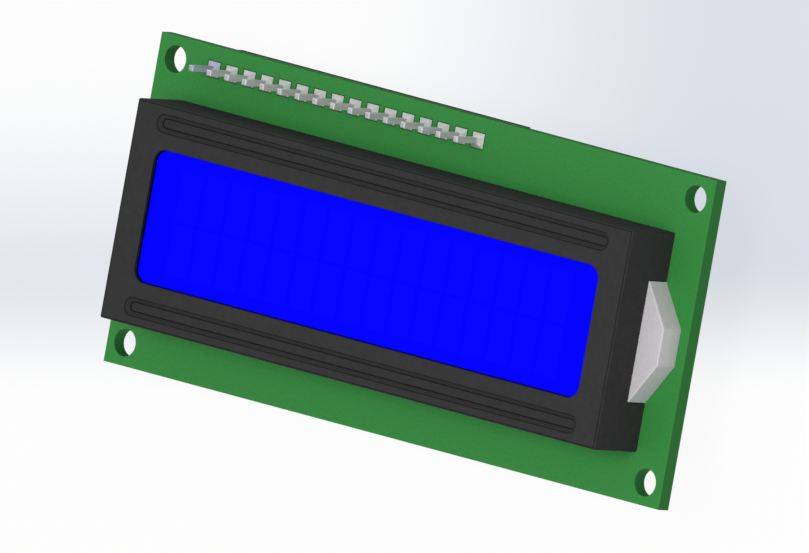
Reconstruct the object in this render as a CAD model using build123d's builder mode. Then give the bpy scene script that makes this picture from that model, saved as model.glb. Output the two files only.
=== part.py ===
import math
import os

from build123d import *

# A two-line character display. A printed board carries a black folded bezel over a liquid
# crystal cell, which is lit from its right end, and a serial adapter board hangs behind it
# on the pin header. Millimetres. The origin is the middle of the four mounting holes, on
# the display board's front face: +X runs along the board, +Y towards the pin header and
# +Z out of the display.

# Display board
board_length = 80.0
board_width = 36.0
board_thickness = 1.6
mounting_hole_inset = 2.5
mounting_hole_diameter = 3.0

# Bezel, folded from one steel sheet, with its margins measured from the board's edges
bezel_left_margin = 4.25
bezel_right_margin = 4.45
bezel_top_margin = 6.6
bezel_bottom_margin = 5.4
bezel_depth = 7.0
sheet = 0.3
fold_radius = 0.2
window_end_margin = 3.65
window_side_margin = 4.75
window_corner_radius = 1.5
bead_edge_margin = 2.0
bead_overrun = 0.5
bead_width = 2.0
bead_depth = 0.5
bead_wall_angle = 45.0
tab_width = 2.2
tab_clearance = 0.15
tab_inset_x = 11.65
tab_inset_y = 2.7
tab_twist = 40.0
tab_twist_length = 1.0
tab_end_length = 0.6

# Display cell and its contact strips
glass_thickness = 1.1
glass_clearance = 0.5
polarizer_thickness = 0.3
polarizer_overlap = 1.1
zebra_width = 2.0
zebra_end_gap = 1.6
cell_clearance = 0.4

# Backlight
diffuser_thickness = 0.2
reflector_thickness = 0.15
reflector_rim = 0.8
nose_height = 2.87
nose_length = 3.15
nose_root_width = 13.2
nose_tip_width = 4.1
nose_clearance = 0.1
nose_edge_radius = 0.15
led_length = 3.2
led_depth = 1.4
led_height = 1.9
led_clearance = 0.1
led_from_bezel = 1.35
led_lead = 0.5
led_lead_spacing = 2.0
led_lead_hole = 0.9

# Chips and chip resistors on the display board's back
blob_height = 1.2
controller_blob_radius = 6.3
driver_blob_radius = 5.3
controller_blob_x = 17.5
driver_blob_x = -12.0
blob_y = -6.5
chip_length = 2.0
chip_width = 1.25
chip_height = 0.5
chip_end = 0.35
chip_step = 2.7
display_resistor_count = 5

# Pin header
pin_count = 16
pin_pitch = 2.54
pin_size = 0.64
pin_chamfer = 0.1
pin_from_left_edge = 8.0
pin_from_top_edge = 2.5
pin_front_length = 3.8
pin_rear_length = 1.4
spacer_height = 2.54
spacer_width = 2.5
header_notch = 0.45

# Solder joints
joint_width = 1.65
joint_height = 0.5
joint_rim = 0.05
lead_hole = 1.1
lead_hole_sides = 8
lead_stub = 0.9

# Adapter board
adapter_thickness = 1.6
adapter_width = 19.0
adapter_left_of_pins = 1.3
adapter_right_of_pins = 2.1
adapter_above_pins = 2.05

# Right-angle headers on the adapter board
block_size = 2.54
leg_from_block = 1.4
bend_radius = 0.5
free_length = 6.0
signal_pin_count = 4
jumper_pin_count = 2

# Jumper cap and the spring clip in it
clip_sheet = 0.2
clip_clearance = 0.1
clip_inset = 0.5
cap_wall = 0.6
cap_end_wall = 0.5
cap_standoff = 0.2
cap_tip_gap = 0.1

# Port expander chip
expander_length = 10.3
expander_width = 7.5
expander_height = 2.25
expander_standoff = 0.15
expander_bevel = 0.3
expander_lead_count = 8
expander_lead_pitch = 1.27
expander_lead_width = 0.42
expander_lead_thickness = 0.25
expander_lead_reach = 1.4
expander_lead_shoulder = 0.4
expander_lead_slope = 0.2
expander_from_centre = 4.5

# Contrast trimmer
trimmer_length = 6.6
trimmer_width = 7.0
trimmer_height = 4.5
trimmer_corner = 0.2
trimmer_foot = 0.4
trimmer_foot_width = 1.0
trimmer_from_left = 11.3
rotor_radius = 1.65
rotor_height = 1.0
rotor_clearance = 0.05
rotor_stem_radius = 0.8
rotor_stem_length = 1.2
rotor_slot_width = 0.6
rotor_slot_length = 2.5
rotor_slot_depth = 0.55
trimmer_lead = 0.5
trimmer_lead_hole = 0.9
trimmer_lead_step = 2.54

# Small chips on the adapter board
row_gap = 0.5
adapter_resistor_count = 4
adapter_capacitor_count = 2
capacitor_height = 0.8
transistor_length = 2.9
transistor_width = 1.3
transistor_height = 1.0
transistor_lead_width = 0.4
transistor_lead_reach = 0.55
transistor_lead_thickness = 0.15
transistor_lead_spacing = 1.9
power_led_base = 0.4
power_led_height = 0.8
power_led_inset = 3.0
power_led_taper = 15.0

# Bezel outline and everything that lines up with it
bezel_left = -board_length / 2 + bezel_left_margin
bezel_right = board_length / 2 - bezel_right_margin
bezel_top = board_width / 2 - bezel_top_margin
bezel_bottom = -board_width / 2 + bezel_bottom_margin
bezel_length = bezel_right - bezel_left
bezel_width = bezel_top - bezel_bottom
bezel_x = (bezel_left + bezel_right) / 2
bezel_y = (bezel_top + bezel_bottom) / 2
window_length = bezel_length - 2 * window_end_margin
window_width = bezel_width - 2 * window_side_margin
bead_length = window_length + 2 * bead_overrun
bead_offset = bezel_width / 2 - bead_edge_margin
bead_shift = sheet * math.tan(math.radians(bead_wall_angle / 2))
cavity_length = bezel_length - 2 * sheet
cavity_width = bezel_width - 2 * sheet

# Heights in the display stack, from the beads that press on the front glass downwards
front_glass_top = bezel_depth - bead_depth - sheet
front_glass_bottom = front_glass_top - glass_thickness
rear_glass_bottom = front_glass_bottom - glass_thickness
rear_polarizer_bottom = rear_glass_bottom - polarizer_thickness
light_guide_top = rear_polarizer_bottom - diffuser_thickness

glass_length = cavity_length - 2 * glass_clearance
front_glass_width = cavity_width - 2 * glass_clearance
rear_glass_width = 2 * (bead_offset - zebra_width / 2 - cell_clearance)
polarizer_length = window_length + 2 * polarizer_overlap
polarizer_width = window_width + 2 * polarizer_overlap
nose_base = bezel_right
led_x = nose_base + led_from_bezel

# Levels of the two boards and the header between them
board_back = -board_thickness
adapter_front = board_back - spacer_height
adapter_back = adapter_front - adapter_thickness
pin_bottom = adapter_back - pin_rear_length
first_pin_x = -board_length / 2 + pin_from_left_edge
pin_y = board_width / 2 - pin_from_top_edge
pin_row = [(first_pin_x + pin_pitch * i, pin_y) for i in range(pin_count)]
pin_row_end = pin_row[-1][0]

# Adapter board outline, and the parts of its back that lie beside each other
adapter_left = first_pin_x - adapter_left_of_pins
adapter_right = pin_row_end + adapter_right_of_pins
adapter_top = pin_y + adapter_above_pins
adapter_bottom = adapter_top - adapter_width
adapter_length = adapter_right - adapter_left
adapter_x = (adapter_left + adapter_right) / 2
parts_y = (pin_y - joint_width / 2 + adapter_bottom) / 2
expander_x = adapter_x + expander_from_centre
trimmer_x = adapter_left + trimmer_from_left
pin_axis = adapter_back - block_size / 2
signal_leg_x = adapter_right - block_size - leg_from_block
jumper_leg_x = adapter_left + block_size + leg_from_block


def row_of(count, centre):
    """Pin positions across the adapter board, a pitch apart and centred on one line."""
    return [centre + pin_pitch * (i - (count - 1) / 2) for i in range(count)]


signal_rows = row_of(signal_pin_count, parts_y)
jumper_rows = row_of(jumper_pin_count, parts_y)
header_legs = [(signal_leg_x, y) for y in signal_rows] + [(jumper_leg_x, y) for y in jumper_rows]
trimmer_leads = [
    (trimmer_x - trimmer_lead_step, parts_y - trimmer_lead_step / 2),
    (trimmer_x, parts_y + trimmer_lead_step / 2),
    (trimmer_x + trimmer_lead_step, parts_y - trimmer_lead_step / 2),
]
chip_body = chip_length - 2 * chip_end
led_leads = [(led_x, bezel_y - led_lead_spacing / 2), (led_x, bezel_y + led_lead_spacing / 2)]

# Bezel tabs: two on each side, each turned so that its own +Y points out of the bezel
tab_reach_x = bezel_length / 2 - sheet / 2
tab_reach_y = bezel_width / 2 - sheet / 2
tab_places = []
for side in (-1, 1):
    for end in (-1, 1):
        along = end * (bezel_length / 2 - tab_inset_x)
        across = end * (bezel_width / 2 - tab_inset_y)
        tab_places.append((bezel_x + along, bezel_y + side * tab_reach_y, 90.0 - 90.0 * side))
        tab_places.append((bezel_x + side * tab_reach_x, bezel_y + across, -90.0 * side))


def level(z, x=0.0, y=0.0, turn=0.0):
    """A horizontal plane at height z, turned about the vertical."""
    angle = math.radians(turn)
    return Plane(origin=(x, y, z), x_dir=(math.cos(angle), math.sin(angle), 0), z_dir=(0, 0, 1))


def lead_holes(places, width):
    """Plated holes for leads, with few sides because a board has so many of them."""
    with BuildSketch(Plane.XY) as holes:
        with Locations(*places):
            RegularPolygon(width / 2, lead_hole_sides)
    return holes.sketch


def solder_joints(places, face, outward, lead):
    """Four-sided heaps of solder on a board's face, each round a square lead."""
    slope = math.atan2((joint_width - lead) / 2 - joint_rim, joint_height)
    with BuildPart() as heap:
        with BuildSketch(Plane.XY):
            Rectangle(joint_width, joint_width)
        extrude(amount=joint_height, taper=math.degrees(slope))
        with BuildSketch(Plane.XY):
            Rectangle(lead, lead)
        extrude(amount=joint_height, mode=Mode.SUBTRACT)
    turn = 0 if outward > 0 else 180
    with BuildPart() as joints:
        with Locations(*[Location((x, y, face), (turn, 0, 0)) for x, y in places]):
            add(heap.part)
    return joints.part


def header_cell(width):
    """Section of a header's plastic round one pin, with bevelled corners."""
    with BuildSketch(Plane.XY) as cell:
        Rectangle(pin_pitch, width)
        chamfer(cell.vertices(), header_notch)
        Rectangle(pin_size, pin_size, mode=Mode.SUBTRACT)
    return cell.sketch


def bent_pin(start, y, reach):
    """Square wire that leaves the block along X and turns up through the board at start."""
    with BuildPart() as pin:
        with BuildLine(Plane.XZ.offset(-y)) as wire:
            FilletPolyline(
                (start + reach, pin_axis),
                (start, pin_axis),
                (start, adapter_front + lead_stub),
                radius=bend_radius,
            )
        with BuildSketch(Plane(origin=wire.line @ 0, z_dir=wire.line % 0)):
            Rectangle(pin_size, pin_size)
        sweep()
        ends = pin.faces().filter_by(Plane.YZ)
        chamfer(ends.sort_by(Axis.X)[-1 if reach > 0 else 0].edges(), pin_chamfer)
    return pin.part


def chip(x, y, face, length, width, height, turn=0.0):
    """Plain block of a surface-mounted part that hangs below a board's back face."""
    with BuildPart() as block:
        with BuildSketch(level(face, x, y, turn)):
            Rectangle(length, width)
        extrude(amount=-height)
    return block.part


def chip_ends(x, y, face, height, turn=0.0):
    """The two plated ends of a chip resistor or capacitor."""
    offset = (chip_length - chip_end) / 2
    with BuildPart() as ends:
        with BuildSketch(level(face, x, y, turn)):
            with Locations((-offset, 0), (offset, 0)):
                Rectangle(chip_end, chip_width)
        extrude(amount=-height)
    return ends.part


os.makedirs("parts", exist_ok=True)

# Display board, drilled for its screws, the header, the backlight and the bezel's tabs, whose
# slots have their clearance inside the bezel, out of sight
with BuildPart() as display_board:
    with BuildSketch(Plane.XY.offset(board_back)):
        Rectangle(board_length, board_width)
        with GridLocations(
            board_length - 2 * mounting_hole_inset, board_width - 2 * mounting_hole_inset, 2, 2
        ):
            Circle(mounting_hole_diameter / 2, mode=Mode.SUBTRACT)
        add(lead_holes(pin_row, lead_hole), mode=Mode.SUBTRACT)
        add(lead_holes(led_leads, led_lead_hole), mode=Mode.SUBTRACT)
        for x, y, turn in tab_places:
            with Locations(Location((x, y, 0), (0, 0, turn))):
                with Locations((0, -tab_clearance)):
                    Rectangle(
                        tab_width + 2 * tab_clearance, sheet + 2 * tab_clearance, mode=Mode.SUBTRACT
                    )
    extrude(amount=board_thickness)
display_board.part.label = "display_board"
export_step(display_board.part, "parts/display_board.step")

# Bezel: an open box of sheet with a window, two pressed beads and twisted tabs
with BuildPart() as bezel_frame:
    with BuildSketch(level(0, bezel_x, bezel_y)):
        Rectangle(bezel_length, bezel_width)
    extrude(amount=bezel_depth)
    fillet(bezel_frame.edges().filter_by(Axis.Z), fold_radius)
    fillet(bezel_frame.faces().sort_by(Axis.Z)[-1].edges(), fold_radius)
    with BuildSketch(level(0, bezel_x, bezel_y)):
        Rectangle(cavity_length, cavity_width)
    extrude(amount=bezel_depth - sheet, mode=Mode.SUBTRACT)
    for side in (-1, 1):
        bead_y = bezel_y + side * bead_offset
        with BuildSketch(level(bezel_depth - sheet, bezel_x, bead_y)):
            SlotOverall(bead_length + 2 * bead_shift, bead_width + 2 * bead_shift)
        extrude(amount=-bead_depth, taper=bead_wall_angle)
        with BuildSketch(level(bezel_depth, bezel_x, bead_y)):
            SlotOverall(bead_length, bead_width)
        extrude(amount=-bead_depth, taper=bead_wall_angle, mode=Mode.SUBTRACT)
    with BuildSketch(level(bezel_depth - sheet, bezel_x, bezel_y)):
        RectangleRounded(window_length, window_width, window_corner_radius)
    extrude(amount=sheet, mode=Mode.SUBTRACT)
    with BuildSketch(level(0, nose_base, bezel_y)):
        Rectangle(4 * sheet, nose_root_width + 2 * nose_clearance)
    extrude(amount=nose_height + nose_clearance, mode=Mode.SUBTRACT)
    for x, y, turn in tab_places:
        with BuildSketch(level(0, x, y, turn)):
            Rectangle(tab_width, sheet)
        extrude(amount=-board_thickness)
        with BuildSketch(level(board_back, x, y, turn)):
            Rectangle(tab_width, sheet)
        with BuildSketch(level(board_back - tab_twist_length, x, y, turn + tab_twist)):
            Rectangle(tab_width, sheet)
        loft()
        with BuildSketch(level(board_back - tab_twist_length, x, y, turn + tab_twist)):
            Rectangle(tab_width, sheet)
        extrude(amount=-tab_end_length)
bezel_frame.part.label = "bezel_frame"
export_step(bezel_frame.part, "parts/bezel_frame.step")

# Front polarizer, just behind the window
with BuildPart() as front_polarizer:
    with BuildSketch(level(front_glass_top, bezel_x, bezel_y)):
        Rectangle(polarizer_length, polarizer_width)
    extrude(amount=polarizer_thickness)
front_polarizer.part.label = "front_polarizer"
export_step(front_polarizer.part, "parts/front_polarizer.step")

# Front glass, whose two long ledges carry the contact pads
with BuildPart() as front_glass:
    with BuildSketch(level(front_glass_bottom, bezel_x, bezel_y)):
        Rectangle(glass_length, front_glass_width)
    extrude(amount=glass_thickness)
front_glass.part.label = "front_glass"
export_step(front_glass.part, "parts/front_glass.step")

# Rear glass, narrower than the front one by the ledges
with BuildPart() as rear_glass:
    with BuildSketch(level(rear_glass_bottom, bezel_x, bezel_y)):
        Rectangle(glass_length, rear_glass_width)
    extrude(amount=glass_thickness)
rear_glass.part.label = "rear_glass"
export_step(rear_glass.part, "parts/rear_glass.step")

# Rear polarizer
with BuildPart() as rear_polarizer:
    with BuildSketch(level(rear_polarizer_bottom, bezel_x, bezel_y)):
        Rectangle(polarizer_length, polarizer_width)
    extrude(amount=polarizer_thickness)
rear_polarizer.part.label = "rear_polarizer"
export_step(rear_polarizer.part, "parts/rear_polarizer.step")

# Striped rubber strips that stand on the board's pads and press on the glass ledges
for side, name in ((1, "zebra_strip_upper"), (-1, "zebra_strip_lower")):
    with BuildPart() as zebra_strip:
        with BuildSketch(level(0, bezel_x, bezel_y + side * bead_offset)):
            Rectangle(glass_length - 2 * zebra_end_gap, zebra_width)
        extrude(amount=front_glass_bottom)
    zebra_strip.part.label = name
    export_step(zebra_strip.part, f"parts/{name}.step")

# Diffuser sheet over the light guide
with BuildPart() as diffuser_sheet:
    with BuildSketch(level(light_guide_top, bezel_x, bezel_y)):
        Rectangle(polarizer_length, polarizer_width)
    extrude(amount=diffuser_thickness)
diffuser_sheet.part.label = "diffuser_sheet"
export_step(diffuser_sheet.part, "parts/diffuser_sheet.step")

# Light guide: a slab under the cell and a tapering nose that holds the lamp
reflector_length = glass_length - 2 * reflector_rim
reflector_width = rear_glass_width - 2 * reflector_rim
with BuildPart() as light_guide:
    with BuildSketch(level(0, bezel_x, bezel_y)):
        Rectangle(glass_length, rear_glass_width)
    extrude(amount=light_guide_top)
    with BuildSketch(level(0, 0, bezel_y)):
        with BuildLine():
            Polyline(
                (bezel_x, -nose_root_width / 2),
                (nose_base, -nose_root_width / 2),
                (nose_base + nose_length, -nose_tip_width / 2),
                (nose_base + nose_length, nose_tip_width / 2),
                (nose_base, nose_root_width / 2),
                (bezel_x, nose_root_width / 2),
                close=True,
            )
        make_face()
    extrude(amount=nose_height)
    outer = light_guide.edges().filter_by_position(Axis.X, nose_base - sheet, nose_base + nose_length)
    rim = outer.filter_by_position(Axis.Z, nose_height, nose_height)
    uprights = outer.filter_by(Axis.Z).filter_by_position(Axis.X, nose_base + sheet, nose_base + nose_length)
    fillet(rim.filter_by(Axis.X, reverse=True) + uprights, nose_edge_radius)
    with BuildSketch(level(0, bezel_x, bezel_y)):
        Rectangle(reflector_length, reflector_width)
    extrude(amount=reflector_thickness, mode=Mode.SUBTRACT)
    with BuildSketch(level(0, led_x, bezel_y)):
        Rectangle(led_depth + 2 * led_clearance, led_length + 2 * led_clearance)
    extrude(amount=led_height + led_clearance, mode=Mode.SUBTRACT)
light_guide.part.label = "light_guide"
export_step(light_guide.part, "parts/light_guide.step")

# Reflector sheet in the recess under the light guide
with BuildPart() as reflector_sheet:
    with BuildSketch(level(0, bezel_x, bezel_y)):
        Rectangle(reflector_length, reflector_width)
    extrude(amount=reflector_thickness)
reflector_sheet.part.label = "reflector_sheet"
export_step(reflector_sheet.part, "parts/reflector_sheet.step")

# Backlight lamp in the nose, with two leads through the board
with BuildPart() as backlight_led:
    with BuildSketch(level(0, led_x, bezel_y)):
        Rectangle(led_depth, led_length)
    extrude(amount=led_height)
    chamfer(backlight_led.faces().sort_by(Axis.Z)[-1].edges(), led_clearance)
backlight_led.part.label = "backlight_led"
export_step(backlight_led.part, "parts/backlight_led.step")

with BuildPart() as backlight_leads:
    with BuildSketch(Plane.XY.offset(board_back - lead_stub)):
        with Locations(*led_leads):
            Rectangle(led_lead, led_lead)
    extrude(amount=board_thickness + lead_stub)
backlight_leads.part.label = "backlight_leads"
export_step(backlight_leads.part, "parts/backlight_leads.step")

with BuildPart() as backlight_joints:
    add(solder_joints(led_leads, board_back, -1, led_lead))
backlight_joints.part.label = "backlight_joints"
export_step(backlight_joints.part, "parts/backlight_joints.step")

# Chips under domes of black resin on the board's back
for name, blob_x, blob_radius in (
    ("controller_blob", controller_blob_x, controller_blob_radius),
    ("driver_blob", driver_blob_x, driver_blob_radius),
):
    dome_radius = (blob_radius**2 + blob_height**2) / (2 * blob_height)
    with BuildPart() as blob:
        with BuildSketch(level(board_back, blob_x, blob_y)):
            Circle(blob_radius)
        extrude(amount=-blob_height)
        with Locations((blob_x, blob_y, board_back - blob_height + dome_radius)):
            Sphere(dome_radius, rotation=(90, 0, 0), mode=Mode.INTERSECT)
    blob.part.label = name
    export_step(blob.part, f"parts/{name}.step")

# Chip resistors on the display board's back, in a row beside the adapter board
display_resistor_row = [
    (adapter_right + chip_step * (i + 1), parts_y) for i in range(display_resistor_count)
]
with BuildPart() as display_resistors:
    for x, y in display_resistor_row:
        add(chip(x, y, board_back, chip_body, chip_width, chip_height, 90))
display_resistors.part.label = "display_resistors"
export_step(display_resistors.part, "parts/display_resistors.step")

# Header spacer: a row of plastic cells, one round each pin
with BuildPart() as header_spacer:
    with BuildSketch(Plane.XY.offset(adapter_front)):
        with Locations(*pin_row):
            add(header_cell(spacer_width))
    extrude(amount=spacer_height)
header_spacer.part.label = "header_spacer"
export_step(header_spacer.part, "parts/header_spacer.step")

# Header pins, through both boards, with their long ends standing out of the front
for number, (x, y) in enumerate(pin_row, start=1):
    with BuildPart() as header_pin:
        with BuildSketch(level(pin_bottom, x, y)):
            Rectangle(pin_size, pin_size)
        extrude(amount=pin_front_length - pin_bottom)
        for tip in header_pin.faces().filter_by(Axis.Z):
            chamfer(tip.edges(), pin_chamfer)
    header_pin.part.label = f"header_pin_{number:02d}"
    export_step(header_pin.part, f"parts/header_pin_{number:02d}.step")

# Solder round the header pins: the first front joint by itself, the rest as a group
with BuildPart() as first_front_joint:
    add(solder_joints(pin_row[:1], 0, 1, pin_size))
first_front_joint.part.label = "first_front_joint"
export_step(first_front_joint.part, "parts/first_front_joint.step")

with BuildPart() as front_joints:
    add(solder_joints(pin_row[1:], 0, 1, pin_size))
front_joints.part.label = "front_joints"
export_step(front_joints.part, "parts/front_joints.step")

with BuildPart() as rear_joints:
    add(solder_joints(pin_row, adapter_back, -1, pin_size))
rear_joints.part.label = "rear_joints"
export_step(rear_joints.part, "parts/rear_joints.step")

# Adapter board
with BuildPart() as adapter_board:
    with BuildSketch(Plane.XY.offset(adapter_back)):
        with Locations((adapter_x, (adapter_top + adapter_bottom) / 2)):
            Rectangle(adapter_length, adapter_width)
        add(lead_holes(pin_row + header_legs, lead_hole), mode=Mode.SUBTRACT)
        add(lead_holes(trimmer_leads, trimmer_lead_hole), mode=Mode.SUBTRACT)
    extrude(amount=adapter_thickness)
adapter_board.part.label = "adapter_board"
export_step(adapter_board.part, "parts/adapter_board.step")

# Right-angle headers: the signal pins point past the board's right edge, the jumper pins
# past its left edge, each row through a block that lies flush with that edge
for name, edge, side, rows, leg_x in (
    ("signal", adapter_right, 1, signal_rows, signal_leg_x),
    ("jumper", adapter_left, -1, jumper_rows, jumper_leg_x),
):
    with BuildPart() as header_block:
        with BuildSketch(Plane.YZ.offset(edge)):
            with Locations(*[(y, pin_axis) for y in rows]):
                add(header_cell(block_size))
        extrude(amount=-side * block_size)
    header_block.part.label = f"{name}_header_block"
    export_step(header_block.part, f"parts/{name}_header_block.step")

    for number, y in enumerate(rows, start=1):
        wire_pin = bent_pin(leg_x, y, side * (leg_from_block + block_size + free_length))
        wire_pin.label = f"{name}_pin_{number}"
        export_step(wire_pin, f"parts/{name}_pin_{number}.step")

# Jumper cap: a plastic hood over both jumper pins, with a spring clip in it
cap_mouth = adapter_left - cap_standoff
cap_depth = free_length - cap_standoff + cap_tip_gap
clip_way = pin_size + 2 * clip_clearance
clip_outside = clip_way + 2 * clip_sheet
clip_span = pin_pitch * (jumper_pin_count - 1) + clip_outside
with BuildPart() as jumper_cap:
    with BuildSketch(Plane.YZ.offset(cap_mouth)):
        with Locations((parts_y, pin_axis)):
            Rectangle(clip_span + 2 * cap_wall, clip_outside + 2 * cap_wall)
    extrude(amount=-(cap_depth + cap_end_wall))
    chamfer(jumper_cap.edges().filter_by(Axis.X), cap_wall / 2)
    with BuildSketch(Plane.YZ.offset(cap_mouth)):
        with Locations((parts_y, pin_axis)):
            Rectangle(clip_span, clip_outside)
    extrude(amount=-cap_depth, mode=Mode.SUBTRACT)
jumper_cap.part.label = "jumper_cap"
export_step(jumper_cap.part, "parts/jumper_cap.step")

with BuildPart() as jumper_clip:
    with BuildSketch(Plane.YZ.offset(cap_mouth - clip_inset)):
        with Locations((parts_y, pin_axis + (clip_outside - clip_sheet) / 2)):
            Rectangle(clip_span, clip_sheet)
        with Locations(*[(y, pin_axis) for y in jumper_rows]):
            Rectangle(clip_outside, clip_outside)
        with Locations(*[(y, pin_axis) for y in jumper_rows]):
            Rectangle(clip_way, clip_way, mode=Mode.SUBTRACT)
    extrude(amount=-(cap_depth - clip_inset))
jumper_clip.part.label = "jumper_clip"
export_step(jumper_clip.part, "parts/jumper_clip.step")

# Port expander: a wide chip with bevelled sides on gull-wing leads
chip_bottom = adapter_back - expander_standoff
lead_level = chip_bottom - expander_height / 2
lead_foot = adapter_back - expander_lead_thickness / 2
with BuildPart() as expander_chip:
    with BuildSketch(level(lead_level, expander_x, parts_y)):
        Rectangle(expander_length, expander_width)
    extrude(amount=expander_height / 2, both=True)
    for side in (0, -1):
        face = expander_chip.faces().sort_by(Axis.Z)[side]
        chamfer(face.edges(), expander_height / 2 - expander_lead_thickness, expander_bevel)
expander_chip.part.label = "expander_chip"
export_step(expander_chip.part, "parts/expander_chip.step")

lead_root = expander_width / 2
with BuildPart(mode=Mode.PRIVATE) as gull_wing:
    with BuildLine(Plane.YZ) as bend:
        Polyline(
            (lead_root, lead_level),
            (lead_root + expander_lead_shoulder, lead_level),
            (lead_root + expander_lead_shoulder + expander_lead_slope, lead_foot),
            (lead_root + expander_lead_reach, lead_foot),
        )
    with BuildSketch(Plane(origin=bend.line @ 0, x_dir=(1, 0, 0), z_dir=bend.line % 0)):
        Rectangle(expander_lead_width, expander_lead_thickness)
    sweep(transition=Transition.RIGHT)
with BuildPart() as expander_leads:
    for i in range(expander_lead_count):
        lead_x = expander_lead_pitch * (i - (expander_lead_count - 1) / 2)
        with Locations(
            Location((expander_x + lead_x, parts_y, 0)),
            Location((expander_x + lead_x, parts_y, 0), (0, 0, 180)),
        ):
            add(gull_wing.part)
expander_leads.part.label = "expander_leads"
export_step(expander_leads.part, "parts/expander_leads.step")

# Contrast trimmer: a square body on four feet, with a slotted rotor in a round recess
trimmer_top = adapter_back - trimmer_foot
trimmer_face = trimmer_top - trimmer_height
stem_bottom = trimmer_face + rotor_height + rotor_stem_length
with BuildPart() as trimmer_body:
    with BuildSketch(level(trimmer_face, trimmer_x, parts_y)):
        Rectangle(trimmer_length, trimmer_width)
    extrude(amount=trimmer_height)
    chamfer(trimmer_body.edges().filter_by(Axis.Z), trimmer_corner)
    with BuildSketch(level(trimmer_top, trimmer_x, parts_y)):
        with GridLocations(
            trimmer_length - trimmer_foot_width, trimmer_width - trimmer_foot_width, 2, 2
        ):
            Rectangle(trimmer_foot_width, trimmer_foot_width)
    extrude(amount=trimmer_foot)
    with BuildSketch(level(trimmer_face, trimmer_x, parts_y)):
        Circle(rotor_radius + rotor_clearance)
    extrude(amount=rotor_height + rotor_clearance, mode=Mode.SUBTRACT)
    with BuildSketch(level(trimmer_face, trimmer_x, parts_y)):
        Circle(rotor_stem_radius + rotor_clearance)
    extrude(amount=rotor_height + rotor_stem_length + rotor_clearance, mode=Mode.SUBTRACT)
trimmer_body.part.label = "trimmer_body"
export_step(trimmer_body.part, "parts/trimmer_body.step")

with BuildPart() as trimmer_rotor:
    with BuildSketch(level(trimmer_face, trimmer_x, parts_y)):
        Circle(rotor_radius)
    extrude(amount=rotor_height)
    with BuildSketch(level(trimmer_face + rotor_height, trimmer_x, parts_y)):
        Circle(rotor_stem_radius)
    extrude(amount=rotor_stem_length)
    with BuildSketch(level(trimmer_face, trimmer_x, parts_y)):
        Rectangle(rotor_slot_length, rotor_slot_width)
        Rectangle(rotor_slot_width, rotor_slot_length)
    extrude(amount=rotor_slot_depth, mode=Mode.SUBTRACT)
trimmer_rotor.part.label = "trimmer_rotor"
export_step(trimmer_rotor.part, "parts/trimmer_rotor.step")

with BuildPart() as trimmer_pins:
    with BuildSketch(Plane.XY.offset(trimmer_top)):
        with Locations(*trimmer_leads):
            Rectangle(trimmer_lead, trimmer_lead)
    extrude(amount=adapter_front + lead_stub - trimmer_top)
trimmer_pins.part.label = "trimmer_pins"
export_step(trimmer_pins.part, "parts/trimmer_pins.step")

# Solder on the adapter board's front, round the leads that come through from behind
with BuildPart() as adapter_joints:
    add(solder_joints(header_legs, adapter_front, 1, pin_size))
    add(solder_joints(trimmer_leads, adapter_front, 1, trimmer_lead))
adapter_joints.part.label = "adapter_joints"
export_step(adapter_joints.part, "parts/adapter_joints.step")

# Chip resistors and capacitors beside the expander, on the adapter board's back
expander_edge = parts_y + lead_root + expander_lead_reach
resistor_y = expander_edge + row_gap + chip_width / 2
resistor_row = [
    (expander_x + chip_step * (i - (adapter_resistor_count - 1) / 2), resistor_y)
    for i in range(adapter_resistor_count)
]
capacitor_x = (trimmer_x + trimmer_length / 2 + expander_x - expander_length / 2) / 2
capacitor_row = [
    (capacitor_x, parts_y + chip_step * (i - (adapter_capacitor_count - 1) / 2))
    for i in range(adapter_capacitor_count)
]
with BuildPart() as adapter_resistors:
    for x, y in resistor_row:
        add(chip(x, y, adapter_back, chip_body, chip_width, chip_height, 90))
adapter_resistors.part.label = "adapter_resistors"
export_step(adapter_resistors.part, "parts/adapter_resistors.step")

with BuildPart() as adapter_capacitors:
    for x, y in capacitor_row:
        add(chip(x, y, adapter_back, chip_body, chip_width, capacitor_height))
adapter_capacitors.part.label = "adapter_capacitors"
export_step(adapter_capacitors.part, "parts/adapter_capacitors.step")

# Backlight transistor, above the trimmer
transistor_y = resistor_y - chip_width / 2
with BuildPart() as backlight_transistor:
    with BuildSketch(level(adapter_back, trimmer_x, transistor_y)):
        Rectangle(transistor_length, transistor_width)
    extrude(amount=-transistor_height)
    chamfer(
        backlight_transistor.faces().sort_by(Axis.Z)[0].edges(), transistor_lead_thickness
    )
backlight_transistor.part.label = "backlight_transistor"
export_step(backlight_transistor.part, "parts/backlight_transistor.step")

# Power lamp: a flat base under a clear lens
power_led_x = adapter_right - power_led_inset
with BuildPart() as power_led:
    with BuildSketch(level(adapter_back, power_led_x, resistor_y)):
        Rectangle(chip_length, chip_width)
    extrude(amount=-power_led_base)
    with BuildSketch(level(adapter_back - power_led_base, power_led_x, resistor_y)):
        Rectangle(chip_body, chip_width)
    extrude(amount=power_led_base - power_led_height, taper=power_led_taper)
power_led.part.label = "power_led"
export_step(power_led.part, "parts/power_led.step")

# Plated ends of the chip resistors and capacitors, and the transistor's three leads
lead_out = (transistor_width + transistor_lead_reach) / 2
with BuildPart() as chip_terminals:
    for x, y in display_resistor_row:
        add(chip_ends(x, y, board_back, chip_height, 90))
    for x, y in resistor_row:
        add(chip_ends(x, y, adapter_back, chip_height, 90))
    for x, y in capacitor_row:
        add(chip_ends(x, y, adapter_back, capacitor_height))
    with BuildSketch(level(adapter_back, trimmer_x, transistor_y)):
        with Locations(
            (0, lead_out),
            (transistor_lead_spacing / 2, -lead_out),
            (-transistor_lead_spacing / 2, -lead_out),
        ):
            Rectangle(transistor_lead_width, transistor_lead_reach)
    extrude(amount=-transistor_lead_thickness)
chip_terminals.part.label = "chip_terminals"
export_step(chip_terminals.part, "parts/chip_terminals.step")
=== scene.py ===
import math

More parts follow.
